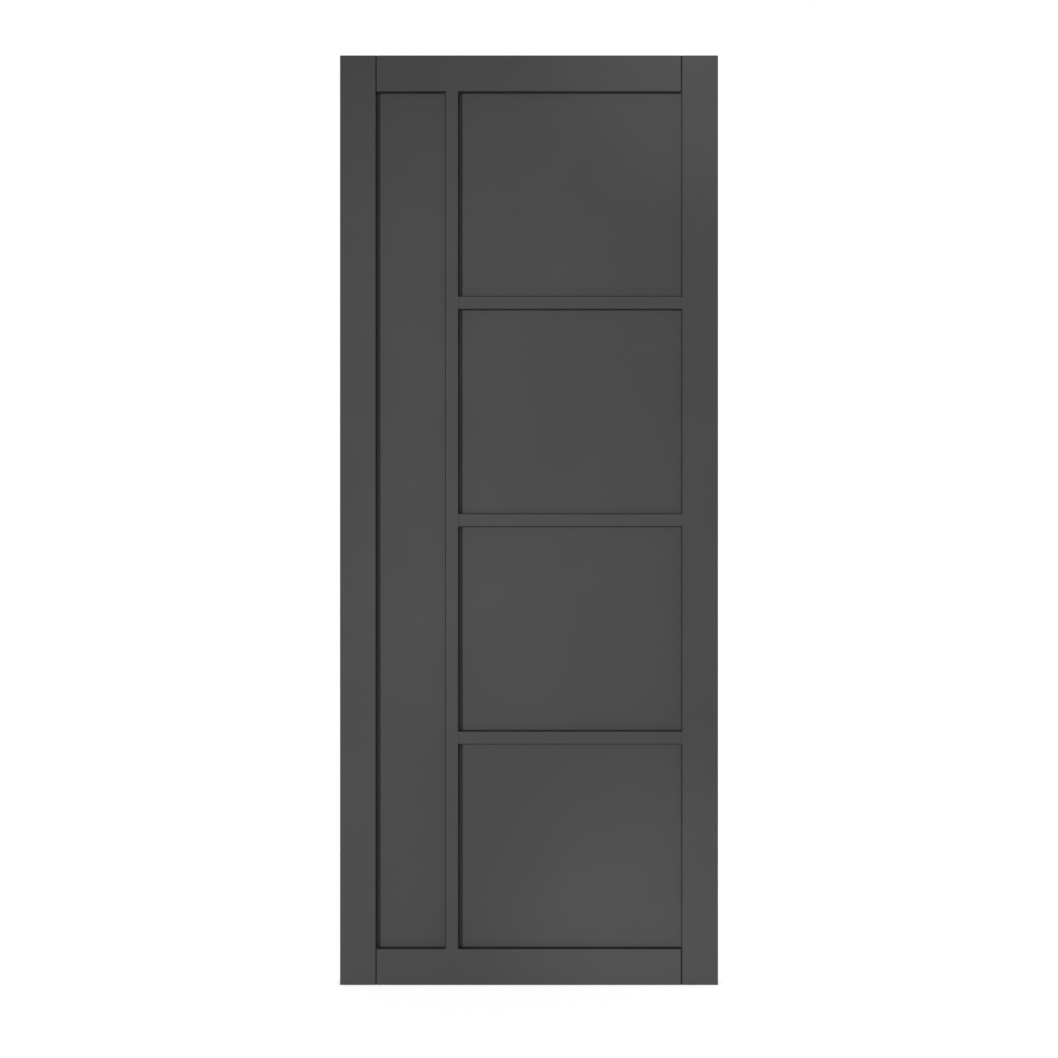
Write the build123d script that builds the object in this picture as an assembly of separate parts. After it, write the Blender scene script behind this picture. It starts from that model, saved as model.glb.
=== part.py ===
from build123d import *

import os

# Interior door leaf of stile and rail build, with one tall narrow panel and four stacked wide panels.
#
# The leaf stands upright. +Z is up, X runs across the leaf and -Y faces the viewer. The origin is at the
# middle of the leaf's bottom edge. Both faces are alike, so every cut made in the front face is made in
# the back face too. Sizes are in millimetres.

# The leaf as a whole
leaf_width = 830.0
leaf_height = 2040.0
leaf_thickness = 40.0

# Stiles and rails: a timber core, timber lippings and a thin fibreboard facing on each side
stile_width = 80.0
top_rail_width = 80.0
bottom_rail_width = 80.0
facing_thickness = 3.0
edge_lipping_width = 10.0
inner_lipping_width = 16.0

# Slim solid bars that divide the opening between the stiles and rails
bar_width = 30.0
tall_opening_width = 151.0
cross_bar_names = ("cross_bar_lower", "cross_bar_middle", "cross_bar_upper")
wide_panel_names = ("panel_bottom", "panel_lower", "panel_upper", "panel_top")

# Flat panels, loose in grooves that also take the stub tenons of the rails and bars
panel_thickness = 12.0
groove_depth = 9.0
groove_side_clearance = 0.1
panel_edge_clearance = 1.5
tenon_end_clearance = 0.5

# Eased edges: how far each slope reaches into the two surfaces that it joins
opening_arris = 2.0
stile_joint_easing = 2.0
bar_joint_easing = 0.4
long_edge_arris = 2.0
end_edge_arris = 1.0

# Dowels that draw the rails to the stiles, one above the other on the leaf's mid plane
rail_dowel_diameter = 10.0
rail_dowel_to_core_edge = 14.0
rail_dowel_in_rail = 55.0
timber_behind_rail_dowel = 34.0

# Dowels in the ends of the bars, one each side of the panel groove
bar_dowel_diameter = 8.0
bar_dowel_in_bar_end = 20.0
timber_behind_bar_dowel = 7.0

# Room for glue round each dowel and past each of its ends
dowel_side_clearance = 0.1
dowel_end_clearance = 1.0

# How far a cutting shape stands clear of the surface that it cuts
cutter_overrun = 1.0

# Planes of the leaf, from the sizes above
half_width = leaf_width / 2
half_thickness = leaf_thickness / 2
inner_left = -half_width + stile_width
inner_right = half_width - stile_width
inner_bottom = bottom_rail_width
inner_top = leaf_height - top_rail_width
upright_left = inner_left + tall_opening_width
upright_right = upright_left + bar_width
upright_middle = (upright_left + upright_right) / 2
core_half_thickness = half_thickness - facing_thickness
panel_half_thickness = panel_thickness / 2
groove_half_width = panel_half_thickness + groove_side_clearance
tenon_length = groove_depth - tenon_end_clearance
panel_reach = groove_depth - panel_edge_clearance

# Lengths and places that the dowels take from the pieces that they join
rail_dowel_in_stile = stile_width - timber_behind_rail_dowel - dowel_end_clearance
bar_dowel_in_neighbour = bar_width - timber_behind_bar_dowel - dowel_end_clearance
bar_dowel_offset = (groove_half_width + core_half_thickness) / 2

# Spans as (low, high)
full_thickness = (-half_thickness, half_thickness)
between_facings = (-core_half_thickness, core_half_thickness)
groove_span = (-groove_half_width, groove_half_width)
panel_span = (-panel_half_thickness, panel_half_thickness)
full_height = (0.0, leaf_height)
opening_height = (inner_bottom, inner_top)
rail_length = (inner_left, inner_right)
upright_width = (upright_left, upright_right)
cross_bar_length = (upright_right, inner_right)
bottom_core_height = (0.0, inner_bottom - inner_lipping_width)
top_core_height = (inner_top + inner_lipping_width, leaf_height)

# The wide openings share what the cross bars leave of the height
wide_opening_count = len(cross_bar_names) + 1
wide_opening_height = (inner_top - inner_bottom - len(cross_bar_names) * bar_width) / wide_opening_count
wide_opening_bottoms = [
    inner_bottom + step * (wide_opening_height + bar_width) for step in range(wide_opening_count)
]
wide_opening_heights = [(bottom, bottom + wide_opening_height) for bottom in wide_opening_bottoms]
cross_bar_heights = [
    (below[1], above[0]) for below, above in zip(wide_opening_heights, wide_opening_heights[1:])
]


def ordered(one, other):
    """Two limits as (low, high)."""
    return (min(one, other), max(one, other))


def grown(span, amount):
    """A span made longer by the same amount at both ends."""
    return (span[0] - amount, span[1] + amount)


def middle(span):
    """The middle of a span."""
    return (span[0] + span[1]) / 2


def length(span):
    """The length of a span."""
    return span[1] - span[0]


def block(x_span, y_span, z_span):
    """A rectangular solid between its limits on the three axes."""
    centre = Pos(middle(x_span), middle(y_span), middle(z_span))
    return centre * Box(length(x_span), length(y_span), length(z_span))


def rod_along_x(diameter, x_span, y, z):
    """A round rod that runs across the leaf."""
    return Pos(middle(x_span), y, z) * Rot(0, 90, 0) * Cylinder(diameter / 2, length(x_span))


def rod_along_z(diameter, x, y, z_span):
    """A round rod that runs up the leaf."""
    return Pos(x, y, middle(z_span)) * Cylinder(diameter / 2, length(z_span))


def upright_notch(x, z_span, easing):
    """A V cut in the front face that runs up the leaf, over an edge or a butt joint at x."""
    reach = easing + cutter_overrun
    mouth = -half_thickness - cutter_overrun
    section = Polygon((x - reach, mouth), (x + reach, mouth), (x, easing - half_thickness), align=None)
    return extrude(Plane.XY.offset(z_span[0]) * section, amount=length(z_span))


def level_notch(x_span, z, easing):
    """A V cut in the front face that runs across the leaf, over an edge or a butt joint at z."""
    reach = easing + cutter_overrun
    mouth = -half_thickness - cutter_overrun
    section = Polygon((mouth, z - reach), (mouth, z + reach), (easing - half_thickness, z), align=None)
    return extrude(Plane.YZ.offset(x_span[0]) * section, amount=length(x_span))


def opening_flare(x_span, z_span):
    """A tapered plug in the front of one opening, which takes the arris off all round it."""
    sections = []
    for above_face in (cutter_overrun, -opening_arris):
        growth = opening_arris + above_face
        outline = Rectangle(length(x_span) + 2 * growth, length(z_span) + 2 * growth)
        centre = Pos(middle(x_span), middle(z_span))
        sections.append(Plane.XZ.offset(half_thickness + above_face) * centre * outline)
    return loft(sections)


def face_cutters():
    """All that is cut into the two faces: the arrises, and the V along each butt joint."""
    past_ends = grown(full_height, cutter_overrun)
    past_sides = grown((-half_width, half_width), cutter_overrun)
    cutters = [opening_flare((inner_left, upright_left), opening_height)]
    for z_span in wide_opening_heights:
        cutters.append(opening_flare(cross_bar_length, z_span))
    for x in (-half_width, half_width):
        cutters.append(upright_notch(x, past_ends, long_edge_arris))
    for z in full_height:
        cutters.append(level_notch(past_sides, z, end_edge_arris))
    for x in rail_length:
        cutters.append(upright_notch(x, (past_ends[0], inner_bottom), stile_joint_easing))
        cutters.append(upright_notch(x, (inner_top, past_ends[1]), stile_joint_easing))
    for z in opening_height:
        cutters.append(level_notch(upright_width, z, bar_joint_easing))
    for x in cross_bar_length:
        for z_span in cross_bar_heights:
            cutters.append(upright_notch(x, z_span, bar_joint_easing))
    return cutters + [mirror(cutter, about=Plane.XZ) for cutter in cutters]


def corner_dowels(joint_x, way_to_stile, core_height, side_room, end_room):
    """The two rods of one corner joint. The way from rail to stile is -1 or 1 along X."""
    stile_end = joint_x + way_to_stile * (rail_dowel_in_stile + end_room)
    rail_end = joint_x - way_to_stile * (rail_dowel_in_rail + end_room)
    diameter = rail_dowel_diameter + 2 * side_room
    heights = grown(core_height, -rail_dowel_to_core_edge)
    return [rod_along_x(diameter, ordered(stile_end, rail_end), 0.0, z) for z in heights]


def upright_bar_dowels(joint_z, way_to_rail, side_room, end_room):
    """The two rods between the upright bar and a rail. The way from bar to rail is -1 or 1 along Z."""
    rail_end = joint_z + way_to_rail * (bar_dowel_in_neighbour + end_room)
    bar_end = joint_z - way_to_rail * (bar_dowel_in_bar_end + end_room)
    diameter = bar_dowel_diameter + 2 * side_room
    span = ordered(rail_end, bar_end)
    return [rod_along_z(diameter, upright_middle, y, span) for y in (-bar_dowel_offset, bar_dowel_offset)]


def cross_bar_dowels(joint_x, way_out, bar_height, side_room, end_room):
    """The two rods in one end of a cross bar. The way out of the bar's end is -1 or 1 along X."""
    outer_end = joint_x + way_out * (bar_dowel_in_neighbour + end_room)
    bar_end = joint_x - way_out * (bar_dowel_in_bar_end + end_room)
    diameter = bar_dowel_diameter + 2 * side_room
    span = ordered(outer_end, bar_end)
    z = middle(bar_height)
    return [rod_along_x(diameter, span, y, z) for y in (-bar_dowel_offset, bar_dowel_offset)]


def dowels_by_joint(side_room=0.0, end_room=0.0):
    """Each joint's rods by node name: the dowels, or with the room given, the holes for them."""
    room = (side_room, end_room)
    dowels = {
        "dowels_bottom_left": corner_dowels(inner_left, -1, bottom_core_height, *room),
        "dowels_bottom_right": corner_dowels(inner_right, 1, bottom_core_height, *room),
        "dowels_top_left": corner_dowels(inner_left, -1, top_core_height, *room),
        "dowels_top_right": corner_dowels(inner_right, 1, top_core_height, *room),
        "dowels_upright_bottom": upright_bar_dowels(inner_bottom, -1, *room),
        "dowels_upright_top": upright_bar_dowels(inner_top, 1, *room),
    }
    for bar_name, bar_height in zip(cross_bar_names, cross_bar_heights):
        dowels[f"dowels_{bar_name}_left"] = cross_bar_dowels(upright_right, -1, bar_height, *room)
        dowels[f"dowels_{bar_name}_right"] = cross_bar_dowels(inner_right, 1, bar_height, *room)
    return dowels


def facings(name, x_span, z_span):
    """The thin sheets on the front and the back of a stile or rail."""
    return {
        f"{name}_front_facing": block(x_span, (-half_thickness, -core_half_thickness), z_span),
        f"{name}_back_facing": block(x_span, (core_half_thickness, half_thickness), z_span),
    }


def stile(name, outer_x, inner_x):
    """The pieces of one stile: core, edge lipping, grooved inner lipping and two facings."""
    way_in = 1 if inner_x > outer_x else -1
    core_outer = outer_x + way_in * edge_lipping_width
    core_inner = inner_x - way_in * inner_lipping_width
    groove = ordered(inner_x - way_in * groove_depth, inner_x + way_in * cutter_overrun)
    inner_lipping = block(ordered(core_inner, inner_x), between_facings, full_height)
    return {
        f"{name}_core": block(ordered(core_outer, core_inner), between_facings, full_height),
        f"{name}_edge_lipping": block(ordered(outer_x, core_outer), between_facings, full_height),
        f"{name}_inner_lipping": inner_lipping - block(groove, groove_span, full_height),
        **facings(name, ordered(outer_x, inner_x), full_height),
    }


def rail(name, outer_z, inner_z):
    """The pieces of one rail: core and grooved lipping, both with stub tenons, and two facings."""
    way_in = 1 if inner_z > outer_z else -1
    core_inner = inner_z - way_in * inner_lipping_width
    groove_floor = inner_z - way_in * groove_depth
    tenon_ends = grown(rail_length, tenon_length)
    core = block(rail_length, between_facings, ordered(outer_z, core_inner))
    core += block(tenon_ends, panel_span, ordered(outer_z, core_inner))
    lipping = block(rail_length, between_facings, ordered(core_inner, inner_z))
    lipping -= block(rail_length, groove_span, ordered(groove_floor, inner_z + way_in * cutter_overrun))
    lipping += block(tenon_ends, panel_span, ordered(core_inner, groove_floor))
    return {
        f"{name}_core": core,
        f"{name}_lipping": lipping,
        **facings(name, rail_length, ordered(outer_z, inner_z)),
    }


def upright_bar():
    """The bar beside the tall panel: an H section whose web runs on as a stub tenon at each end."""
    web = grown(upright_width, -groove_depth)
    bar = block(upright_width, full_thickness, opening_height)
    for edge, floor in zip(grown(upright_width, cutter_overrun), web):
        bar -= block(ordered(edge, floor), groove_span, opening_height)
    return bar + block(web, panel_span, grown(opening_height, tenon_length))


def cross_bar(z_span):
    """A bar between two wide panels: an H section whose web runs on as a stub tenon at each end."""
    web = grown(z_span, -groove_depth)
    bar = block(cross_bar_length, full_thickness, z_span)
    for edge, floor in zip(grown(z_span, cutter_overrun), web):
        bar -= block(cross_bar_length, groove_span, ordered(edge, floor))
    return bar + block(grown(cross_bar_length, tenon_length), panel_span, web)


def panel(x_span, z_span):
    """A flat panel that fills one opening and reaches into the grooves all round."""
    return block(grown(x_span, panel_reach), panel_span, grown(z_span, panel_reach))


def boxes_meet(one, other):
    """Whether the bounding boxes of two shapes share any space."""
    first = one.bounding_box()
    second = other.bounding_box()
    limits = zip(first.min, first.max, second.min, second.max)
    return all(low < other_high and other_low < high for low, high, other_low, other_high in limits)


def leaf_pieces():
    """Every piece of the leaf by node name."""
    members = {
        **stile("left_stile", -half_width, inner_left),
        **stile("right_stile", half_width, inner_right),
        **rail("top_rail", leaf_height, inner_top),
        **rail("bottom_rail", 0.0, inner_bottom),
        "upright_bar": upright_bar(),
    }
    for name, z_span in zip(cross_bar_names, cross_bar_heights):
        members[name] = cross_bar(z_span)

    cutters = face_cutters()
    for holes in dowels_by_joint(dowel_side_clearance, dowel_end_clearance).values():
        cutters += holes
    pieces = {}
    for name, member in members.items():
        pieces[name] = member - [cutter for cutter in cutters if boxes_meet(member, cutter)]

    pieces["panel_tall"] = panel((inner_left, upright_left), opening_height)
    for name, z_span in zip(wide_panel_names, wide_opening_heights):
        pieces[name] = panel(cross_bar_length, z_span)
    for name, dowels in dowels_by_joint().items():
        pieces[name] = Compound(children=dowels)
    return pieces


os.makedirs("parts", exist_ok=True)
for name, piece in leaf_pieces().items():
    export_step(piece, f"parts/{name}.step")
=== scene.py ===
# The looks of an interior door leaf: painted stiles, rails and slim bars round flat recessed panels.

import math

import bmesh
import bpy
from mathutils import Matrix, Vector


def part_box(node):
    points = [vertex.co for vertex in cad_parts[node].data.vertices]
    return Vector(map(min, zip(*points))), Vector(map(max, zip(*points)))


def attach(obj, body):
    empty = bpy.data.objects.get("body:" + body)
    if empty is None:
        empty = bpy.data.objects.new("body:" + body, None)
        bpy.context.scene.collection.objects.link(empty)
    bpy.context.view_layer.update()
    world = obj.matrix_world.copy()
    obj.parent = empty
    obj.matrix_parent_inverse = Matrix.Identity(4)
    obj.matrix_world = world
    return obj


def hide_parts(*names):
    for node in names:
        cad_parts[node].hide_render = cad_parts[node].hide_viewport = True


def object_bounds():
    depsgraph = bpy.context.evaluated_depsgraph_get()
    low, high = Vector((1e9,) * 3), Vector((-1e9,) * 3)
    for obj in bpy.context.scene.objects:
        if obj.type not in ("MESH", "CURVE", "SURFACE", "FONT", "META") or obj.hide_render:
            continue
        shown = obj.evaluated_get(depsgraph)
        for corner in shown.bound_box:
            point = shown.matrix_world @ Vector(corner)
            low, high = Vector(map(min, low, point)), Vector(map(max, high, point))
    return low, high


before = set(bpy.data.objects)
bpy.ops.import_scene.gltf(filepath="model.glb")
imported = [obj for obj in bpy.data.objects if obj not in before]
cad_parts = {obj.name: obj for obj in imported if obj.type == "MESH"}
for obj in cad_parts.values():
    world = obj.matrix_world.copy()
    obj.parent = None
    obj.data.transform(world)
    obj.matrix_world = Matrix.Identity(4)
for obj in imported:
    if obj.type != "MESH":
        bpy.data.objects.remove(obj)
cad_low, cad_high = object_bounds()


# Cores of the stiles and rails.
# Softwood strips glued edge to edge and planed to 34 mm. Lippings and facings hide them except at the
# leaf's top and bottom ends, where the enamel has sunk into the timber and dried a little rough.

mm = 0.001
strip_width = 27 * mm
ring_spacing = 3.5 * mm
fibre_width = 1.2 * mm
fibre_length = 60 * mm
pore_size = 2.5 * mm
pore_depth = 0.06 * mm
soaked_roughness = 0.68
# Of enamel and of wood alike.
refractive_index = 1.5
# A wave texture at scale 1 repeats over this length.
wave_repeat = math.pi / 10


def linear(hex_colour):
    """An sRGB hex colour as the linear red, green, blue and alpha that Blender's sockets take."""
    channels = [int(hex_colour[place : place + 2], 16) / 255 for place in (1, 3, 5)]
    bent = [c / 12.92 if c <= 0.04045 else ((c + 0.055) / 1.055) ** 2.4 for c in channels]
    return (*bent, 1.0)


def set_inputs(tree, node, inputs):
    """Sets a node's sockets. Inputs pairs each socket with a value or with another node's output."""
    for socket, value in inputs:
        if isinstance(value, bpy.types.NodeSocket):
            tree.links.new(value, node.inputs[socket])
        else:
            node.inputs[socket].default_value = value


def add_node(tree, kind, inputs=(), **settings):
    """A new node in a tree, with its settings and inputs."""
    node = tree.nodes.new(kind)
    for setting, value in settings.items():
        setattr(node, setting, value)
    set_inputs(tree, node, inputs)
    return node


def result(tree, kind, inputs=(), **settings):
    """The first output of a new node."""
    return add_node(tree, kind, inputs, **settings).outputs[0]


def worked_out(tree, operation, *values):
    """The number that one step of arithmetic on values and outputs gives."""
    return result(tree, "ShaderNodeMath", enumerate(values), operation=operation)


def mixed_colour(tree, share, first, second):
    """A colour that goes from the first to the second as the share goes from 0 to 1."""
    colours = [("Factor", share), (6, first), (7, second)]
    return add_node(tree, "ShaderNodeMix", colours, data_type="RGBA").outputs[2]


def new_material(name):
    """A material with an empty node tree, its tree and its output node."""
    material = bpy.data.materials.new(name)
    material.use_nodes = True
    material.node_tree.nodes.clear()
    output = add_node(material.node_tree, "ShaderNodeOutputMaterial")
    return material, material.node_tree, output


def strip_core(name, across, fibre_size):
    """Planed softwood in glued strips, with enamel soaked into whatever faces straight up or down.

    The strips lie side by side along the axis named by across. The growth rings show as soft bands, and
    the fibres as fine streaks. Under enamel both only show as a faint roughness.
    """
    material, tree, output = new_material(name)
    place = add_node(tree, "ShaderNodeTexCoord").outputs["Object"]
    apart = add_node(tree, "ShaderNodeSeparateXYZ", [(0, place)])
    in_strips = worked_out(tree, "DIVIDE", apart.outputs[across], strip_width)
    strip = worked_out(tree, "FLOOR", in_strips)
    strip_shade = add_node(tree, "ShaderNodeTexWhiteNoise", [("W", strip)], noise_dimensions="1D")
    rings = add_node(
        tree,
        "ShaderNodeTexWave",
        [
            ("Vector", place),
            ("Scale", wave_repeat / ring_spacing),
            ("Distortion", 3.0),
            ("Detail", 2.0),
            ("Detail Scale", 0.3),
            ("Phase Offset", strip_shade.outputs["Value"]),
        ],
        bands_direction=across,
    )
    stretched = add_node(
        tree,
        "ShaderNodeMapping",
        [("Vector", place), ("Scale", tuple(1 / size for size in fibre_size))],
    )
    fibres = add_node(tree, "ShaderNodeTexNoise", [("Vector", stretched.outputs[0]), ("Scale", 1.0)])
    ringed = mixed_colour(tree, rings.outputs["Fac"], linear("#D6B07C"), linear("#B98A54"))
    streaked = mixed_colour(tree, fibres.outputs["Fac"], ringed, linear("#A87C4A"))
    # The enamel covers every face that leans less than about 45 degrees from level.
    level_limit = 0.7
    facing = add_node(tree, "ShaderNodeNewGeometry")
    facing_parts = add_node(tree, "ShaderNodeSeparateXYZ", [(0, facing.outputs["True Normal"])])
    upness = worked_out(tree, "ABSOLUTE", facing_parts.outputs["Z"])
    painted = worked_out(tree, "GREATER_THAN", upness, level_limit)
    colour = mixed_colour(tree, painted, streaked, linear("#3C3C3C"))
    pores = add_node(
        tree, "ShaderNodeTexNoise", [("Vector", place), ("Scale", 1 / pore_size), ("Detail", 3.0)]
    )
    relief = worked_out(tree, "ADD", pores.outputs["Fac"], rings.outputs["Fac"])
    bump = add_node(
        tree,
        "ShaderNodeBump",
        [("Strength", 0.6), ("Distance", pore_depth), ("Height", relief)],
    )
    timber = add_node(
        tree,
        "ShaderNodeBsdfPrincipled",
        [
            ("Base Color", colour),
            ("Roughness", soaked_roughness),
            ("IOR", refractive_index),
            ("Normal", bump.outputs[0]),
        ],
    )
    tree.links.new(timber.outputs[0], output.inputs["Surface"])
    return material


upright_core = strip_core("glued_softwood_strips_upright", "X", (fibre_width, fibre_width, fibre_length))
level_core = strip_core("glued_softwood_strips_level", "Z", (fibre_length, fibre_width, fibre_width))

for node, timber in (
    ("left_stile_core", upright_core),
    ("right_stile_core", upright_core),
    ("top_rail_core", level_core),
    ("bottom_rail_core", level_core),
):
    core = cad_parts[node]
    core.data.materials.clear()
    core.data.materials.append(timber)


# Lippings of the stiles and rails.
# Strips of planed softwood, glued to the outer long edges and all round the openings, where the panels'
# grooves are run. Sprayed satin enamel covers them, and their grain shows through it only faintly.

edge_easing = 0.12 * mm
slope_rounding = 0.5 * mm
rounding_steps = 3
crisp_angle = math.radians(30)
square_angle = math.radians(60)
same_place = 0.01 * mm
satin_roughness = 0.60
grain_width = 3 * mm
grain_length = 150 * mm
grain_height = 0.01 * mm


def satin_enamel(name, roughness, relief_size, relief_height):
    """Dark grey enamel, sprayed in thin coats over a primer and rubbed down between them.

    It gives the eye an even satin grey. Its shade and sheen drift over a hand's width, its skin has a
    fine orange peel, and what lies under it shows as a faint relief of the size given on each axis.
    """
    drift_size = 180 * mm
    # Real orange peel is 1 to 2 mm across, and is drawn at 5 mm so that it shows.
    peel_size = 5 * mm
    peel_height = 0.02 * mm
    sheen_drift = 0.03
    material, tree, output = new_material(name)
    place = add_node(tree, "ShaderNodeTexCoord").outputs["Object"]
    drift = add_node(
        tree,
        "ShaderNodeTexNoise",
        [("Vector", place), ("Scale", 1 / drift_size), ("Detail", 2.0), ("Roughness", 0.45)],
    ).outputs["Fac"]
    shade = mixed_colour(tree, drift, linear("#3D3D3D"), linear("#414141"))
    sheen = add_node(
        tree,
        "ShaderNodeMapRange",
        [("Value", drift), ("To Min", roughness + sheen_drift), ("To Max", roughness - sheen_drift)],
    )
    peel = add_node(
        tree,
        "ShaderNodeTexNoise",
        [("Vector", place), ("Scale", 1 / peel_size), ("Detail", 1.0), ("Roughness", 0.4)],
    )
    peeled = add_node(
        tree,
        "ShaderNodeBump",
        [("Strength", 1.0), ("Distance", peel_height), ("Height", peel.outputs["Fac"])],
    )
    stretched = add_node(
        tree,
        "ShaderNodeMapping",
        [("Vector", place), ("Scale", tuple(1 / size for size in relief_size))],
    )
    under = add_node(
        tree,
        "ShaderNodeTexNoise",
        [("Vector", stretched.outputs["Vector"]), ("Scale", 1.0), ("Detail", 2.0)],
    )
    skin = add_node(
        tree,
        "ShaderNodeBump",
        [
            ("Strength", 1.0),
            ("Distance", relief_height),
            ("Height", under.outputs["Fac"]),
            ("Normal", peeled.outputs["Normal"]),
        ],
    )
    coat = add_node(
        tree,
        "ShaderNodeBsdfPrincipled",
        [
            ("Base Color", shade),
            ("Roughness", sheen.outputs["Result"]),
            ("IOR", refractive_index),
            ("Normal", skin.outputs["Normal"]),
        ],
    )
    tree.links.new(coat.outputs["BSDF"], output.inputs["Surface"])
    return material


def sanded_copy(name, node, coats):
    """A piece that stands for a node and has its form, with slopes and outer edges rounded as by sanding.

    Coats holds pairs of a material and a test. A face gets the first material whose test holds.
    """
    blank = bmesh.new()
    blank.from_mesh(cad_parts[node].data)
    bmesh.ops.remove_doubles(blank, verts=blank.verts, dist=same_place)
    bmesh.ops.dissolve_limit(blank, angle_limit=math.radians(1), verts=blank.verts, edges=blank.edges)
    weights = blank.edges.layers.float.new("bevel_weight_edge")
    for edge in blank.edges:
        turn = edge.calc_face_angle(0.0)
        if crisp_angle < turn < square_angle:
            edge[weights] = 1.0
        elif turn >= square_angle and in_outer_surface(edge):
            edge[weights] = edge_easing / slope_rounding
        edge.smooth = edge[weights] > 0
    mesh = bpy.data.meshes.new(name)
    blank.to_mesh(mesh)
    blank.free()
    mesh.shade_smooth()
    piece = bpy.data.objects.new(name, mesh)
    bpy.context.scene.collection.objects.link(piece)
    rounding = piece.modifiers.new("rounding", "BEVEL")
    rounding.limit_method = "WEIGHT"
    rounding.width = slope_rounding
    rounding.segments = rounding_steps
    make_plain(piece)
    for material, _ in coats:
        piece.data.materials.append(material)
    for face in piece.data.polygons:
        face.material_index = [test(face) for _, test in coats].index(True)
    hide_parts(node)
    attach(piece, "root")


def in_outer_surface(edge):
    """Whether an edge lies in one of the leaf's two faces, two long edges or two ends."""
    for axis in range(3):
        for limit in (cad_low[axis], cad_high[axis]):
            if all(abs(vertex.co[axis] - limit) < same_place for vertex in edge.verts):
                return True
    return False


def make_plain(piece):
    """Turns a piece and its modifiers into one plain mesh, whose flat faces are shaded flat."""
    for step in ("shape", "shading"):
        if step == "shading":
            piece.data.set_sharp_from_angle(angle=crisp_angle)
            flat_faces = piece.modifiers.new("flat_faces", "WEIGHTED_NORMAL")
            flat_faces.keep_sharp = True
            flat_faces.weight = 100
        settled = bpy.context.evaluated_depsgraph_get()
        finished = bpy.data.meshes.new_from_object(piece.evaluated_get(settled))
        piece.modifiers.clear()
        piece.data = finished
    finished.name = piece.name
    # What a Geometry Nodes tree makes has an empty slot before its own materials.
    if finished.materials and finished.materials[0] is None:
        finished.materials.pop(index=0)


def any_face(face):
    return True


upright_enamel = satin_enamel(
    "satin_enamel_on_upright_timber",
    satin_roughness,
    (grain_width, grain_width, grain_length),
    grain_height,
)
level_enamel = satin_enamel(
    "satin_enamel_on_level_timber",
    satin_roughness,
    (grain_length, grain_width, grain_width),
    grain_height,
)

for node in (
    "left_stile_edge_lipping",
    "left_stile_inner_lipping",
    "right_stile_inner_lipping",
    "right_stile_edge_lipping",
):
    sanded_copy(f"{node}_painted", node, [(upright_enamel, any_face)])
for node in ("top_rail_lipping", "bottom_rail_lipping"):
    sanded_copy(f"{node}_painted", node, [(level_enamel, any_face)])


# Facings of the stiles and rails.
# Medium density fibreboard, 3 mm thick, glued over cores and lippings on both sides of the leaf. Round
# the openings and along the joints their edges are eased to a slope, coated matt and darker as painted
# shade.

press_mark_size = 12 * mm
press_mark_height = 0.008 * mm
raised_fibre_size = 2 * mm
raised_fibre_height = 0.02 * mm
board_edge_roughness = 0.68
# A slope's normal has a share along Y between these two.
least_lean = 0.25
most_lean = 0.95

board_enamel = satin_enamel(
    "satin_enamel_on_fibreboard", satin_roughness, (press_mark_size,) * 3, press_mark_height
)
board_edge_enamel = satin_enamel(
    "satin_enamel_on_fibreboard_edge", board_edge_roughness, (raised_fibre_size,) * 3, raised_fibre_height
)


def matt_slope_enamel_with_painted_shade():
    """The coat on the slopes round the openings and in the joints: matt, with a darker colour as painted
    shade.

    The darker colour paints in the fine dark line of shade that sets each opening and each joint off from
    the flat faces.
    """
    patch_size = 25 * mm
    nap_size = 1.5 * mm
    nap_height = 0.02 * mm
    matt_roughness = 0.9
    matt_specular = 0.1
    material, tree, output = new_material("matt_enamel_with_painted_shade_on_eased_edge")
    place = add_node(tree, "ShaderNodeTexCoord").outputs["Object"]
    patches = add_node(
        tree, "ShaderNodeTexNoise", [("Vector", place), ("Scale", 1 / patch_size), ("Detail", 3.0)]
    )
    # These two darker greys are painted shade along the slopes.
    shade = mixed_colour(tree, patches.outputs["Fac"], linear("#292929"), linear("#2F2F2F"))
    nap = add_node(
        tree, "ShaderNodeTexNoise", [("Vector", place), ("Scale", 1 / nap_size), ("Detail", 2.0)]
    )
    bump = add_node(
        tree,
        "ShaderNodeBump",
        [("Strength", 1.0), ("Distance", nap_height), ("Height", nap.outputs["Fac"])],
    )
    coat = add_node(
        tree,
        "ShaderNodeBsdfPrincipled",
        [
            ("Base Color", shade),
            ("Roughness", matt_roughness),
            ("IOR", refractive_index),
            ("Specular IOR Level", matt_specular),
            ("Normal", bump.outputs["Normal"]),
        ],
    )
    tree.links.new(coat.outputs["BSDF"], output.inputs["Surface"])
    return material


# Matt enamel with painted shade, for the slopes round the openings and at the joints.
slope_enamel_with_painted_shade = matt_slope_enamel_with_painted_shade()


def on_inner_slope(face):
    """Whether a face is a slope round an opening or at a joint, not an outer edge or a hairline."""
    outer_edge_reach = 4 * mm
    hairline_depth = 0.3 * mm
    x, y, z = face.center
    from_sides = min(x - cad_low.x, cad_high.x - x)
    from_ends = min(z - cad_low.z, cad_high.z - z)
    within = from_sides > outer_edge_reach and from_ends > outer_edge_reach
    return within and least_lean < abs(face.normal.y) < most_lean and abs(y) < cad_high.y - hairline_depth


def in_left_joint(face):
    """Whether a face is a rail's slope in the V at the left stile, which keeps the satin enamel without
    painted shade.
    """
    joint_reach = 2 * mm
    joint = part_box("left_stile_front_facing")[1][0]
    return 0 < face.center.x - joint < joint_reach and on_inner_slope(face)


def on_flat_side(face):
    return abs(face.normal.y) > 0.5


for member in ("left_stile", "right_stile", "top_rail", "bottom_rail"):
    for side in ("front", "back"):
        node = f"{member}_{side}_facing"
        # Slopes take the enamel with painted shade, except the rail's slope at the left stile, which keeps
        # the satin enamel.
        coats = [
            (board_enamel, in_left_joint),
            (slope_enamel_with_painted_shade, on_inner_slope),
            (board_enamel, on_flat_side),
            (board_edge_enamel, any_face),
        ]
        sanded_copy(f"{node}_painted", node, coats)


# Dowels.
# Turned beech rods with fine straight flutes that let the glue out, and a short taper at each end. Two
# draw each rail to each stile, and two smaller ones hold each end of each bar.


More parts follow.
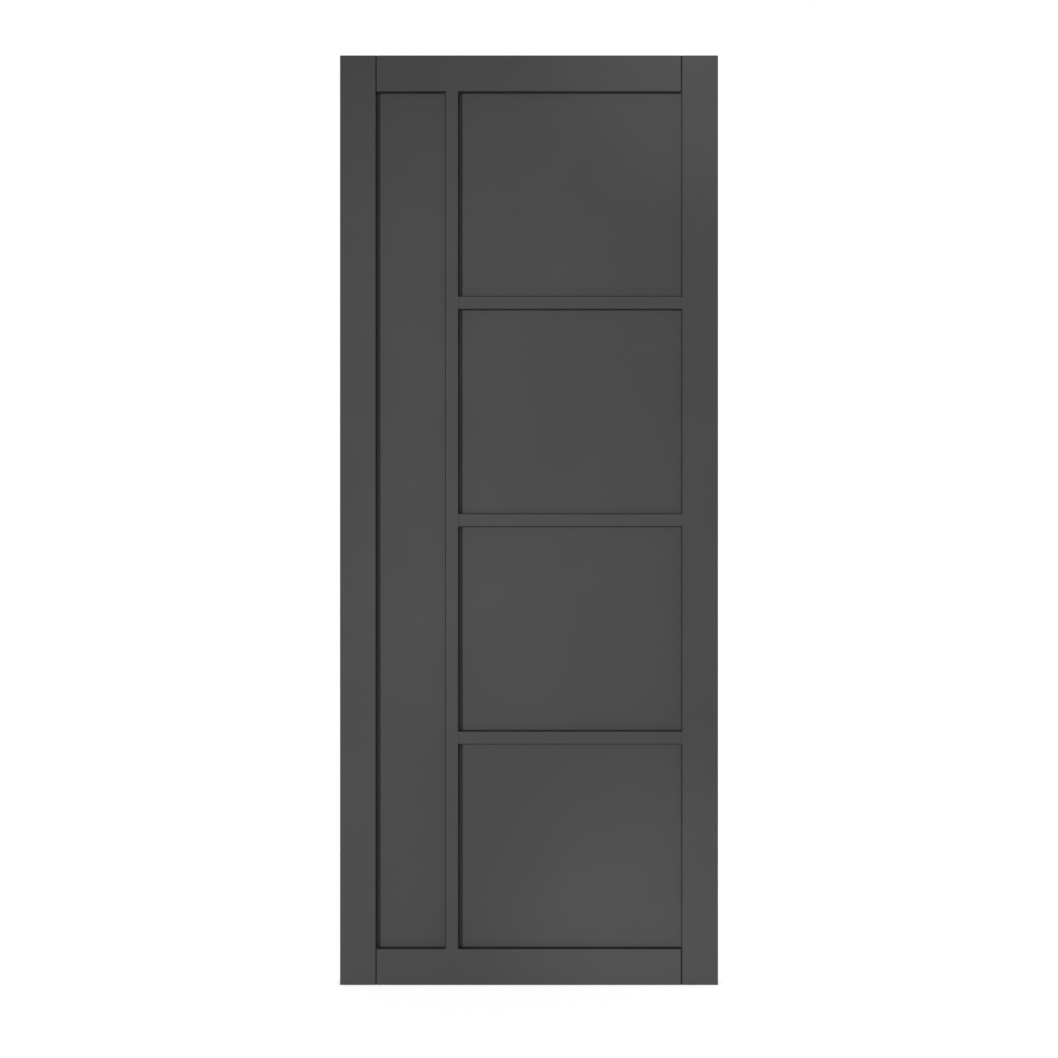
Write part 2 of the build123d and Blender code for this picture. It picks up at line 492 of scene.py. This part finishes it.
def geometry_tree(name, sockets):
    """A Geometry Nodes tree with a named input for each socket, and its input and output nodes."""
    tree = bpy.data.node_groups.new(name, "GeometryNodeTree")
    tree.is_modifier = True
    tree.interface.new_socket("Geometry", in_out="INPUT", socket_type="NodeSocketGeometry")
    for socket, kind in sockets.items():
        tree.interface.new_socket(socket, in_out="INPUT", socket_type=f"NodeSocket{kind}")
    tree.interface.new_socket("Geometry", in_out="OUTPUT", socket_type="NodeSocketGeometry")
    return tree, add_node(tree, "NodeGroupInput").outputs, add_node(tree, "NodeGroupOutput").inputs


def vector_worked_out(tree, operation, *values):
    """The vector that one step of arithmetic on vectors gives."""
    return result(tree, "ShaderNodeVectorMath", enumerate(values), operation=operation)


def vector_from(tree, **parts):
    """A vector from its parts along X, Y and Z. A part that isn't given is 0."""
    return result(tree, "ShaderNodeCombineXYZ", parts.items())


def chosen(tree, number, values):
    """The value that stands at a number's place in the list of values."""
    switch = add_node(tree, "GeometryNodeIndexSwitch", [("Index", number)], data_type="FLOAT")
    for _ in values[len(switch.index_switch_items) :]:
        switch.index_switch_items.new()
    set_inputs(tree, switch, enumerate(values, start=1))
    return switch.outputs[0]


def line_through(tree, heights):
    """A straight line along Z with a point at each height."""
    number = result(tree, "GeometryNodeInputIndex")
    place = vector_from(tree, Z=chosen(tree, number, heights))
    points = result(tree, "GeometryNodeMeshLine", [("Count", len(heights))])
    placed = result(tree, "GeometryNodeSetPosition", [(0, points), ("Position", place)])
    return result(tree, "GeometryNodeMeshToCurve", [(0, placed)])


def copies(tree, points, piece, turn, coat):
    """A copy of the piece at each point, turned, made real and coated."""
    placed = result(
        tree,
        "GeometryNodeInstanceOnPoints",
        [("Points", points), ("Instance", piece), ("Rotation", turn)],
    )
    real = result(tree, "GeometryNodeRealizeInstances", [(0, placed)])
    return result(tree, "GeometryNodeSetMaterial", [(0, real), ("Material", coat)])


def made_from(tree, name, points, values):
    """A piece that a tree makes at the points from the values of its named inputs, as one plain mesh."""
    mesh = bpy.data.meshes.new(f"{name}_points")
    mesh.from_pydata(points, [], [])
    piece = bpy.data.objects.new(name, mesh)
    bpy.context.scene.collection.objects.link(piece)
    maker = piece.modifiers.new("maker", "NODES")
    maker.node_group = tree
    for socket in tree.interface.items_tree:
        if socket.in_out == "INPUT" and socket.name in values:
            maker[socket.identifier] = values[socket.name]
    make_plain(piece)
    return piece


dowel_tree, given, made = geometry_tree(
    "fluted_dowel",
    {
        "Diameter": "Float",
        "Length": "Float",
        "Flutes": "Int",
        "Flute Depth": "Float",
        "End Taper": "Float",
        "Turn": "Vector",
        "Wood": "Material",
    },
)
points_in_flute = 4
resolution = worked_out(dowel_tree, "MULTIPLY", given["Flutes"], points_in_flute)
radius = worked_out(dowel_tree, "DIVIDE", given["Diameter"], 2.0)
round_outline = result(
    dowel_tree, "GeometryNodeCurvePrimitiveCircle", [("Resolution", resolution), ("Radius", radius)]
)
# The first of each flute's points is drawn in to the bottom of the flute.
point_number = result(dowel_tree, "GeometryNodeInputIndex")
in_flute = worked_out(dowel_tree, "MODULO", point_number, points_in_flute)
at_bottom = worked_out(dowel_tree, "LESS_THAN", in_flute, 0.5)
depth_here = worked_out(dowel_tree, "MULTIPLY", at_bottom, given["Flute Depth"])
drawn_radius = worked_out(dowel_tree, "SUBTRACT", radius, depth_here)
outline_place = result(dowel_tree, "GeometryNodeInputPosition")
outward = vector_worked_out(dowel_tree, "NORMALIZE", outline_place)
drawn_place = vector_worked_out(dowel_tree, "MULTIPLY", outward, drawn_radius)
fluted_outline = result(
    dowel_tree, "GeometryNodeSetPosition", [(0, round_outline), ("Position", drawn_place)]
)
# Between its two ends the rod is straight, and at each end it tapers.
end_low = worked_out(dowel_tree, "MULTIPLY", given["Length"], -0.5)
taper_low = worked_out(dowel_tree, "ADD", end_low, given["End Taper"])
end_high = worked_out(dowel_tree, "MULTIPLY", end_low, -1.0)
taper_high = worked_out(dowel_tree, "MULTIPLY", taper_low, -1.0)
axis_line = line_through(dowel_tree, (end_low, taper_low, taper_high, end_high))
end_share = worked_out(dowel_tree, "DIVIDE", given["End Taper"], radius)
end_scale = worked_out(dowel_tree, "SUBTRACT", 1.0, end_share)
scale = chosen(dowel_tree, point_number, (end_scale, 1.0, 1.0, end_scale))
rod = result(
    dowel_tree,
    "GeometryNodeCurveToMesh",
    [("Curve", axis_line), ("Profile Curve", fluted_outline), ("Scale", scale), ("Fill Caps", True)],
)
flat_rod = result(dowel_tree, "GeometryNodeSetShadeSmooth", [(0, rod), ("Shade Smooth", False)])
rods = copies(dowel_tree, given["Geometry"], flat_rod, given["Turn"], given["Wood"])
dowel_tree.links.new(rods, made["Geometry"])


def turned_beech(name, fleck_size):
    """Pale, close-grained beech, turned and left raw, with short brown flecks along the grain."""
    fleck_depth = 0.03 * mm
    raw_roughness = 0.7
    material, tree, output = new_material(name)
    place = add_node(tree, "ShaderNodeTexCoord").outputs["Object"]
    stretched = add_node(
        tree,
        "ShaderNodeMapping",
        [("Vector", place), ("Scale", tuple(1 / size for size in fleck_size))],
    )
    flecks = add_node(
        tree,
        "ShaderNodeTexNoise",
        [("Vector", stretched.outputs[0]), ("Scale", 1.0), ("Detail", 4.0)],
    )
    fleck_colour = add_node(tree, "ShaderNodeValToRGB", [("Fac", flecks.outputs["Fac"])])
    fleck, ground = fleck_colour.color_ramp.elements
    fleck.position = 0.35
    fleck.color = linear("#B4835A")
    ground.position = 0.6
    ground.color = linear("#D8B48C")
    bump = add_node(
        tree,
        "ShaderNodeBump",
        [("Strength", 0.5), ("Distance", fleck_depth), ("Height", flecks.outputs["Fac"])],
    )
    wood = add_node(
        tree,
        "ShaderNodeBsdfPrincipled",
        [
            ("Base Color", fleck_colour.outputs["Color"]),
            ("Roughness", raw_roughness),
            ("IOR", refractive_index),
            ("Normal", bump.outputs["Normal"]),
        ],
    )
    tree.links.new(wood.outputs["BSDF"], output.inputs["Surface"])
    return material


def rod_middles(nodes, spread_axis, diameter):
    """The middles of the two rods in each node, which lie apart along one axis."""
    middles = []
    for node in nodes:
        low, high = (Vector(corner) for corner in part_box(node))
        apart = Vector((0, 0, 0))
        apart[spread_axis] = (high[spread_axis] - low[spread_axis] - diameter) / 2
        middles += [(low + high) / 2 - apart, (low + high) / 2 + apart]
    return middles


rail_dowel_diameter = 10 * mm
bar_dowel_diameter = 8 * mm
fleck_width = 0.8 * mm
fleck_length = 8 * mm
level_beech = turned_beech("turned_beech_level", (fleck_length, fleck_width, fleck_width))
upright_beech = turned_beech("turned_beech_upright", (fleck_width, fleck_width, fleck_length))
lying = (0, math.radians(90), 0)
standing = (0, 0, 0)
cross_bars = ("cross_bar_lower", "cross_bar_middle", "cross_bar_upper")
# The number in each set is the axis along which the two rods of a joint lie apart: 1 is Y and 2 is Z.
dowel_sets = (
    (
        "rail_dowels",
        [f"dowels_{end}_{side}" for end in ("bottom", "top") for side in ("left", "right")],
        2,
        rail_dowel_diameter,
        lying,
        level_beech,
    ),
    (
        "cross_bar_dowels",
        [f"dowels_{bar}_{side}" for bar in cross_bars for side in ("left", "right")],
        1,
        bar_dowel_diameter,
        lying,
        level_beech,
    ),
    (
        "upright_bar_dowels",
        ["dowels_upright_bottom", "dowels_upright_top"],
        1,
        bar_dowel_diameter,
        standing,
        upright_beech,
    ),
)
for name, nodes, spread_axis, diameter, turn, wood in dowel_sets:
    low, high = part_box(nodes[0])
    along = 2 if turn == standing else 0
    dowels = made_from(
        dowel_tree,
        name,
        rod_middles(nodes, spread_axis, diameter),
        {
            "Diameter": diameter,
            "Length": high[along] - low[along],
            "Flutes": 16,
            "Flute Depth": 0.4 * mm,
            "End Taper": 1 * mm,
            "Turn": turn,
            "Wood": wood,
        },
    )
    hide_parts(*nodes)
    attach(dowels, "root")


# Bars between the panels.
# Solid softwood, planed to the leaf's full thickness, eased, grooved for the panels on both edges, tenoned
# and bored at both ends. They are glued flush to their neighbours, and the joints show as hairlines.

bar_tree, given, made = geometry_tree(
    "grooved_bar",
    {
        "Length": "Float",
        "Width": "Float",
        "Thickness": "Float",
        "Arris": "Float",
        "Arris Rounding": "Float",
        "Joint Easing": "Float",
        "Groove Width": "Float",
        "Groove Depth": "Float",
        "Tenon Length": "Float",
        "Tenon Thickness": "Float",
        "Bore Diameter": "Float",
        "Bore Depth": "Float",
        "Bore Spacing": "Float",
        "Turn": "Vector",
        "Enamel": "Material",
        "Slope Enamel With Painted Shade": "Material",
    },
)
# The bar is planed and its arrises come off: its outline is cut to slopes, whose edges are then rounded.
square_outline = result(
    bar_tree,
    "GeometryNodeCurvePrimitiveQuadrilateral",
    [("Width", given["Width"]), ("Height", given["Thickness"])],
)
sloped_outline = result(
    bar_tree,
    "GeometryNodeFilletCurve",
    [(0, square_outline), ("Count", 1), ("Radius", given["Arris"])],
    mode="POLY",
)
outline = result(
    bar_tree,
    "GeometryNodeFilletCurve",
    [(0, sloped_outline), ("Count", rounding_steps), ("Radius", given["Arris Rounding"])],
    mode="POLY",
)
before_end = worked_out(bar_tree, "SUBTRACT", given["Length"], given["Joint Easing"])
axis_line = line_through(bar_tree, (0.0, given["Joint Easing"], before_end, given["Length"]))
planed = result(
    bar_tree,
    "GeometryNodeCurveToMesh",
    [("Curve", axis_line), ("Profile Curve", outline), ("Fill Caps", True)],
)
# At each end the two faces are eased by the width of the hairline joint.
place = result(bar_tree, "GeometryNodeInputPosition")
apart = add_node(bar_tree, "ShaderNodeSeparateXYZ", [(0, place)])
half_length = worked_out(bar_tree, "MULTIPLY", given["Length"], 0.5)
from_middle = worked_out(bar_tree, "SUBTRACT", apart.outputs["Z"], half_length)
way_out = worked_out(bar_tree, "ABSOLUTE", from_middle)
to_end = worked_out(bar_tree, "SUBTRACT", half_length, way_out)
half_easing = worked_out(bar_tree, "MULTIPLY", given["Joint Easing"], 0.5)
at_end = worked_out(bar_tree, "LESS_THAN", to_end, half_easing)
half_thickness = worked_out(bar_tree, "MULTIPLY", given["Thickness"], 0.5)
eased_high = worked_out(bar_tree, "SUBTRACT", half_thickness, given["Joint Easing"])
eased_low = worked_out(bar_tree, "MULTIPLY", eased_high, -1.0)
eased_depth = result(
    bar_tree, "ShaderNodeClamp", [("Value", apart.outputs["Y"]), ("Min", eased_low), ("Max", eased_high)]
)
eased_place = vector_from(bar_tree, X=apart.outputs["X"], Y=eased_depth, Z=apart.outputs["Z"])
eased = result(
    bar_tree,
    "GeometryNodeSetPosition",
    [(0, planed), ("Selection", at_end), ("Position", eased_place)],
)
# A groove is run along each edge.
half_width = worked_out(bar_tree, "MULTIPLY", given["Width"], 0.5)
far_half_width = worked_out(bar_tree, "MULTIPLY", half_width, -1.0)
one_edge = vector_from(bar_tree, X=far_half_width, Z=half_length)
other_edge = vector_from(bar_tree, X=half_width, Z=half_length)
edge_points = result(
    bar_tree,
    "GeometryNodeMeshLine",
    [("Count", 2), ("Start Location", one_edge), ("Offset", other_edge)],
    mode="END_POINTS",
)
cutter_width = worked_out(bar_tree, "MULTIPLY", given["Groove Depth"], 2.0)
cutter_length = worked_out(bar_tree, "MULTIPLY", given["Length"], 2.0)
cutter_size = vector_from(bar_tree, X=cutter_width, Y=given["Groove Width"], Z=cutter_length)
groove_cutter = result(bar_tree, "GeometryNodeMeshCube", [("Size", cutter_size)])
groove_cutters = result(
    bar_tree, "GeometryNodeInstanceOnPoints", [("Points", edge_points), ("Instance", groove_cutter)]
)
# Two holes are bored in each end for the dowels.
bit_sides = 24
bore_radius = worked_out(bar_tree, "MULTIPLY", given["Bore Diameter"], 0.5)
bit_length = worked_out(bar_tree, "MULTIPLY", given["Bore Depth"], 2.0)
bit = result(
    bar_tree,
    "GeometryNodeMeshCylinder",
    [("Vertices", bit_sides), ("Radius", bore_radius), ("Depth", bit_length)],
)
bore_grid = result(
    bar_tree,
    "GeometryNodeMeshGrid",
    [("Size X", given["Length"]), ("Size Y", given["Bore Spacing"]), ("Vertices X", 2), ("Vertices Y", 2)],
)
bar_middle = vector_from(bar_tree, Z=half_length)
bore_points = result(
    bar_tree,
    "GeometryNodeTransform",
    [(0, bore_grid), ("Translation", bar_middle), ("Rotation", lying)],
)
bits = result(bar_tree, "GeometryNodeInstanceOnPoints", [("Points", bore_points), ("Instance", bit)])
cut = result(
    bar_tree,
    "GeometryNodeMeshBoolean",
    [("Mesh 1", eased), ("Mesh 2", groove_cutters), ("Mesh 2", bits)],
    operation="DIFFERENCE",
    solver="EXACT",
)
# The web between the grooves runs on past both ends as stub tenons.
web_width = worked_out(bar_tree, "SUBTRACT", given["Width"], cutter_width)
both_tenons = worked_out(bar_tree, "MULTIPLY", given["Tenon Length"], 2.0)
web_length = worked_out(bar_tree, "ADD", given["Length"], both_tenons)
web_size = vector_from(bar_tree, X=web_width, Y=given["Tenon Thickness"], Z=web_length)
web_block = result(bar_tree, "GeometryNodeMeshCube", [("Size", web_size)])
web = result(bar_tree, "GeometryNodeTransform", [(0, web_block), ("Translation", bar_middle)])
tenoned = result(
    bar_tree,
    "GeometryNodeMeshBoolean",
    [("Mesh 2", cut), ("Mesh 2", web)],
    operation="UNION",
    solver="EXACT",
)
smooth = result(bar_tree, "GeometryNodeSetShadeSmooth", [(0, tenoned), ("Shade Smooth", True)])
edge_angle = result(bar_tree, "GeometryNodeInputMeshEdgeAngle")
crisp = worked_out(bar_tree, "GREATER_THAN", edge_angle, crisp_angle)
crisp_edged = result(
    bar_tree,
    "GeometryNodeSetShadeSmooth",
    [(0, smooth), ("Selection", crisp), ("Shade Smooth", False)],
    domain="EDGE",
)
painted_bars = copies(bar_tree, given["Geometry"], crisp_edged, given["Turn"], given["Enamel"])
# The slopes are the faces that lean between flat and square, but not the hairline at the joint.
lean = result(bar_tree, "GeometryNodeInputNormal")
lean_parts = add_node(bar_tree, "ShaderNodeSeparateXYZ", [(0, lean)])
flatness = worked_out(bar_tree, "ABSOLUTE", lean_parts.outputs["Y"])
middle_lean = (least_lean + most_lean) / 2
leaning = worked_out(bar_tree, "COMPARE", flatness, middle_lean, most_lean - middle_lean)
depth = worked_out(bar_tree, "ABSOLUTE", apart.outputs["Y"])
below_joint = worked_out(bar_tree, "LESS_THAN", depth, eased_high)
on_slope = worked_out(bar_tree, "MULTIPLY", leaning, below_joint)
# The slopes take the matt enamel with painted shade.
sloped_bars = result(
    bar_tree,
    "GeometryNodeSetMaterial",
    [(0, painted_bars), ("Selection", on_slope), ("Material", given["Slope Enamel With Painted Shade"])],
)
bar_tree.links.new(sloped_bars, made["Geometry"])

# The upright bar is eased along the openings only, so it takes the form of its CAD node.
# Its slopes round the openings take the enamel with painted shade.
sanded_copy(
    "upright_bar_painted",
    "upright_bar",
    [(slope_enamel_with_painted_shade, on_inner_slope), (upright_enamel, any_face)],
)

tenon_length = 8.5 * mm
bar_boxes = [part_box(bar) for bar in cross_bars]
low, high = bar_boxes[0]
cross_bar_set = made_from(
    bar_tree,
    "cross_bars_painted",
    [(low[0] + tenon_length, 0, (low[2] + high[2]) / 2) for low, high in bar_boxes],
    {
        "Length": high[0] - low[0] - 2 * tenon_length,
        "Width": high[2] - low[2],
        "Thickness": cad_high.y - cad_low.y,
        "Arris": 2 * mm,
        "Arris Rounding": 1.2 * mm,
        "Joint Easing": 0.4 * mm,
        "Groove Width": 12.2 * mm,
        "Groove Depth": 9 * mm,
        "Tenon Length": tenon_length,
        "Tenon Thickness": 12 * mm,
        "Bore Diameter": 8.2 * mm,
        "Bore Depth": 21 * mm,
        "Bore Spacing": 23.1 * mm,
        "Turn": lying,
        "Enamel": level_enamel,
        "Slope Enamel With Painted Shade": slope_enamel_with_painted_shade,
    },
)
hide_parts(*cross_bars)
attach(cross_bar_set, "root")


# Panels.
# Flat sheets of 12 mm fibreboard, loose in the grooves all round so that they can move, and sprayed on both
# sides with the rest of the leaf. Their rims, hidden in the grooves, are eased so that they slide in.

panel_tree, given, made = geometry_tree(
    "eased_sheet",
    {
        "Width": "Float",
        "Height": "Float",
        "Thickness": "Float",
        "Rim Easing": "Float",
        "Enamel": "Material",
    },
)
sheet_outline = result(
    panel_tree,
    "GeometryNodeCurvePrimitiveQuadrilateral",
    [("Width", given["Width"]), ("Height", given["Height"])],
)
face_high = worked_out(panel_tree, "MULTIPLY", given["Thickness"], 0.5)
full_high = worked_out(panel_tree, "SUBTRACT", face_high, given["Rim Easing"])
full_low = worked_out(panel_tree, "MULTIPLY", full_high, -1.0)
face_low = worked_out(panel_tree, "MULTIPLY", face_high, -1.0)
through_line = line_through(panel_tree, (face_low, full_low, full_high, face_high))
square_sheet = result(
    panel_tree,
    "GeometryNodeCurveToMesh",
    [("Curve", through_line), ("Profile Curve", sheet_outline), ("Fill Caps", True)],
)
# On each face the outline is drawn in by the easing.
place = result(panel_tree, "GeometryNodeInputPosition")
size = vector_from(panel_tree, X=given["Width"], Y=given["Height"])
half_size = vector_worked_out(panel_tree, "MULTIPLY", size, (0.5, 0.5, 0.5))
easing = vector_from(panel_tree, X=given["Rim Easing"], Y=given["Rim Easing"])
corner = vector_worked_out(panel_tree, "SUBTRACT", half_size, easing)
far_corner = vector_worked_out(panel_tree, "MULTIPLY", corner, (-1, -1, -1))
past_far_corner = vector_worked_out(panel_tree, "MAXIMUM", place, far_corner)
inside = vector_worked_out(panel_tree, "MINIMUM", past_far_corner, corner)
outline_only = vector_worked_out(panel_tree, "MULTIPLY", inside, (1, 1, 0))
thickness_only = vector_worked_out(panel_tree, "MULTIPLY", place, (0, 0, 1))
drawn_in = vector_worked_out(panel_tree, "ADD", outline_only, thickness_only)
face_reach = 0.1 * mm
apart = add_node(panel_tree, "ShaderNodeSeparateXYZ", [(0, place)])
away = worked_out(panel_tree, "ABSOLUTE", apart.outputs["Z"])
on_face = worked_out(panel_tree, "COMPARE", away, face_high, face_reach)
sheet = result(
    panel_tree,
    "GeometryNodeSetPosition",
    [(0, square_sheet), ("Selection", on_face), ("Position", drawn_in)],
)
flat_sheet = result(panel_tree, "GeometryNodeSetShadeSmooth", [(0, sheet), ("Shade Smooth", False)])
upright_turn = (math.radians(90), 0, 0)
painted_sheets = copies(panel_tree, given["Geometry"], flat_sheet, upright_turn, given["Enamel"])
panel_tree.links.new(painted_sheets, made["Geometry"])

for name, nodes in (
    ("tall_panel_painted", ["panel_tall"]),
    ("wide_panels_painted", ["panel_bottom", "panel_lower", "panel_upper", "panel_top"]),
):
    boxes = [[Vector(corner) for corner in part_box(node)] for node in nodes]
    width, thickness, height = boxes[0][1] - boxes[0][0]
    panels = made_from(
        panel_tree,
        name,
        [(low + high) / 2 for low, high in boxes],
        {
            "Width": width,
            "Height": height,
            "Thickness": thickness,
            "Rim Easing": 0.8 * mm,
            "Enamel": board_enamel,
        },
    )
    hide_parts(*nodes)
    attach(panels, "root")


# Studio floor and backdrop.
# A wide sheet of white paper that the leaf stands on. It is as white as the background to the camera, and
# keeps a soft shadow where the leaf stands.

floor_size = 12.0
paper_glow = 0.63
floor_mesh = bpy.data.meshes.new("studio_floor")
reach = floor_size / 2
corners = [(-reach, -reach, 0), (reach, -reach, 0), (reach, reach, 0), (-reach, reach, 0)]
floor_mesh.from_pydata(corners, [], [(0, 1, 2, 3)])
floor = bpy.data.objects.new("studio_floor", floor_mesh)
bpy.context.scene.collection.objects.link(floor)
paper, tree, output = new_material("matt_white_paper")
path = add_node(tree, "ShaderNodeLightPath")
matt = result(tree, "ShaderNodeBsdfDiffuse", [("Color", linear("#EDEDED"))])
glow = result(tree, "ShaderNodeEmission", [("Strength", paper_glow)])
lit = result(tree, "ShaderNodeAddShader", [(0, matt), (1, glow)])
seen = result(tree, "ShaderNodeMixShader", [("Fac", path.outputs["Is Camera Ray"]), (1, matt), (2, lit)])
tree.links.new(seen, output.inputs["Surface"])
floor_mesh.materials.append(paper)


# Studio light.
# A dim white room with a lamp overhead for the top end and the floor. Far lamps to the left of each face
# put a crisp shadow along the left of each recess, and weaker ones light it from straight in front.

room_light = 0.18
room_sheen = 0.25
white = linear("#FFFFFF")
world = bpy.data.worlds.new("white_studio")
bpy.context.scene.world = world
world.use_nodes = True
tree = world.node_tree
tree.nodes.clear()
output = add_node(tree, "ShaderNodeOutputWorld")
path = add_node(tree, "ShaderNodeLightPath")
soft = result(tree, "ShaderNodeBackground", [("Color", white), ("Strength", room_light)])
mirrored = result(tree, "ShaderNodeBackground", [("Color", white), ("Strength", room_sheen)])
bright = result(tree, "ShaderNodeBackground", [("Color", white), ("Strength", 1.0)])
# The satin enamel mirrors a room darker than white, as black flags round a door in a studio give.
dull = result(
    tree, "ShaderNodeMixShader", [("Fac", path.outputs["Is Glossy Ray"]), (1, soft), (2, mirrored)]
)
through = worked_out(tree, "MAXIMUM", path.outputs["Is Camera Ray"], path.outputs["Is Transmission Ray"])
seen = result(tree, "ShaderNodeMixShader", [("Fac", through), (1, dull), (2, bright)])
tree.links.new(seen, output.inputs["Surface"])

top_strength = 0.9
key_strength = 0.77
fill_strength = 0.3
key_turn = math.radians(33.7)
lamp_spread = math.radians(1.0)
# The key and fill lamps shine down by this much, so that the floor's far edge doesn't shade the foot.
lamp_fall = math.tan(math.radians(0.6))


def aim(lamp_object, travel):
    """Turns a lamp so that its light goes the way of travel, and puts it in the scene."""
    lamp_object.rotation_euler = travel.to_track_quat("-Z", "Y").to_euler()
    bpy.context.scene.collection.objects.link(lamp_object)


suns = [("top_lamp", top_strength, Vector((0, 0, -1)))]
for name, turn, strength in (("key", key_turn, key_strength), ("fill", 0.0, fill_strength)):
    for side, way in (("front", 1), ("back", -1)):
        travel = Vector((way * math.sin(turn), way * math.cos(turn), -lamp_fall))
        suns.append((f"{side}_{name}", strength, travel))
for name, strength, travel in suns:
    lamp = bpy.data.lights.new(name, "SUN")
    lamp.energy = strength
    lamp.angle = lamp_spread
    aim(bpy.data.objects.new(name, lamp), travel)

# The light from the left is uneven, as in a real studio. Four soft spots beside the key lamp make a face
# brighter towards its right side and its foot than at the upper left. Each is given by how far across and
# up the leaf its middle falls, how wide it is and how strong it is as a share of a sun of strength 1.
spot_distance = 12.0
spots = (
    ("upper_right", 0.66, 2.2, 0.66, 1.2),
    ("middle", 0.48, 1.48, 1.23, 0.93),
    ("lower_right", 0.35, 0.12, 0.43, 0.97),
    ("lower_left", -0.26, 0.16, 1.1, 0.84),
)
for name, across, height, radius, strength in spots:
    for side, way in (("front", 1), ("back", -1)):
        lamp = bpy.data.lights.new(f"{side}_{name}_spot", "SPOT")
        lamp.energy = strength * 4 * math.pi * spot_distance**2
        lamp.spot_size = 2 * math.atan(radius / spot_distance)
        lamp.spot_blend = 1.0
        lamp.shadow_soft_size = spot_distance * math.tan(lamp_spread / 2)
        travel = Vector((way * math.sin(key_turn), way * math.cos(key_turn), 0))
        spot = bpy.data.objects.new(lamp.name, lamp)
        spot.location = Vector((way * across, way * cad_low.y, height)) - spot_distance * travel
        aim(spot, travel)


# Camera.
# It stands 3.2 m in front of the leaf, level with the leaf's middle, as the even width of the openings'
# edges in the picture shows.

sensor_width = 36.0
camera_distance = 3.2
camera_height = 1.0007
seen_width = 2.3218
lens = bpy.data.cameras.new("camera")
lens.sensor_width = sensor_width
lens.lens = sensor_width * camera_distance / seen_width
camera = bpy.data.objects.new("camera", lens)
camera.location = (0, cad_low.y - camera_distance, camera_height)
camera.rotation_euler = (math.radians(90), 0, 0)
bpy.context.scene.collection.objects.link(camera)
bpy.context.scene.camera = camera
bpy.context.scene.view_settings.view_transform = "Standard"
